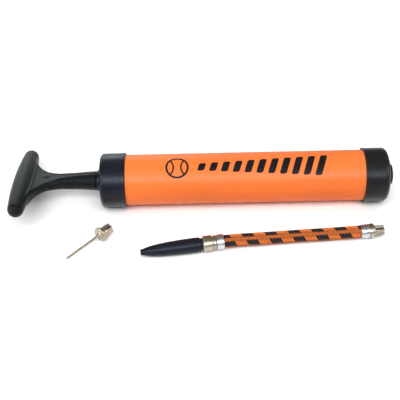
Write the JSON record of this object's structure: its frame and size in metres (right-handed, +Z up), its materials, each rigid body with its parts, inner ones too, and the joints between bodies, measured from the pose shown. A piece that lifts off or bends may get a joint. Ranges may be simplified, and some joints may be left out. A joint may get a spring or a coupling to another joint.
{
  "type": "ball inflation pump",
  "caption": "Slim hand pump with a T-handle, an orange barrel and black end caps, lying with its short braided hose, cone nozzle and ball needle.",
  "frame": {"origin": "on the table, under the middle of the box round the pump and the needle (the hose set is not counted)", "axes": "+X along the pump's axis from the handle to the outlet, +Z up, +Y away from the side where the hose and needle lie"},
  "size_m": [0.2848, 0.1101, 0.0413],
  "materials": {
    "orange_plastic": "satin moulded orange plastic",
    "black_plastic": "satin moulded black plastic",
    "handle_plastic": "fine spark-textured black plastic",
    "rod_steel": "bright plated steel",
    "piston_plastic": "natural acetal",
    "seal_rubber": "black nitrile rubber",
    "nickel_brass": "nickel-plated brass, warm grey",
    "ferrule_steel": "bright steel",
    "hose_braid": "orange textile braid with black tracer yarns",
    "spring_steel": "drawn spring wire"
  },
  "bodies": {
    "pump": {"barrel": "orange_plastic", "front_collar": "black_plastic", "rod_guide_ring": "black_plastic", "rod_bumper": "seal_rubber", "end_cap": "black_plastic", "cap_gasket": "seal_rubber", "outlet_insert": "black_plastic", "outlet_washer": "seal_rubber", "valve_seat": "piston_plastic"},
    "check_valve": {"valve_disc": "seal_rubber", "valve_spring": "spring_steel"},
    "piston": {"piston_head": "piston_plastic", "piston_o_ring": "seal_rubber"},
    "handle": {"piston_rod": "rod_steel", "piston_washer": "ferrule_steel", "piston_screw": "ferrule_steel", "t_handle": "handle_plastic"},
    "hose_set": {"hose": "hose_braid", "ferrule_socket_end": "ferrule_steel", "hose_socket": "nickel_brass", "socket_washer": "seal_rubber", "ferrule_plug_end": "ferrule_steel", "hose_plug": "nickel_brass"},
    "nozzle": {"nozzle": "black_plastic"},
    "needle": {"needle_hub": "nickel_brass", "needle_tube": "nickel_brass"}
  },
  "joints": [
    {"name": "piston_stroke", "type": "slide", "parent": "pump", "child": "piston", "axis": [-1, 0, 0], "range_m": [0, 0.175]},
    {"name": "handle_turn", "type": "hinge", "parent": "piston", "child": "handle", "pos_m": [-0.057, 0.01325, 0.0206], "axis": [1, 0, 0], "continuous": true},
    {"name": "valve_lift", "type": "slide", "parent": "pump", "child": "check_valve", "axis": [1, 0, 0], "range_m": [0, 0.001], "stiffness_N_per_m": 50, "springref_m": -0.0005},
    {"name": "hose_lift", "type": "slide", "parent": "pump", "child": "hose_set", "axis": [0, 0, 1], "range_m": [0, 0.06]},
    {"name": "nozzle_out", "type": "slide", "parent": "hose_set", "child": "nozzle", "axis": [-0.9923, -0.121, -0.0284], "range_m": [0, 0.012]},
    {"name": "needle_lift", "type": "slide", "parent": "pump", "child": "needle", "axis": [0, 0, 1], "range_m": [0, 0.06]}
  ]
}
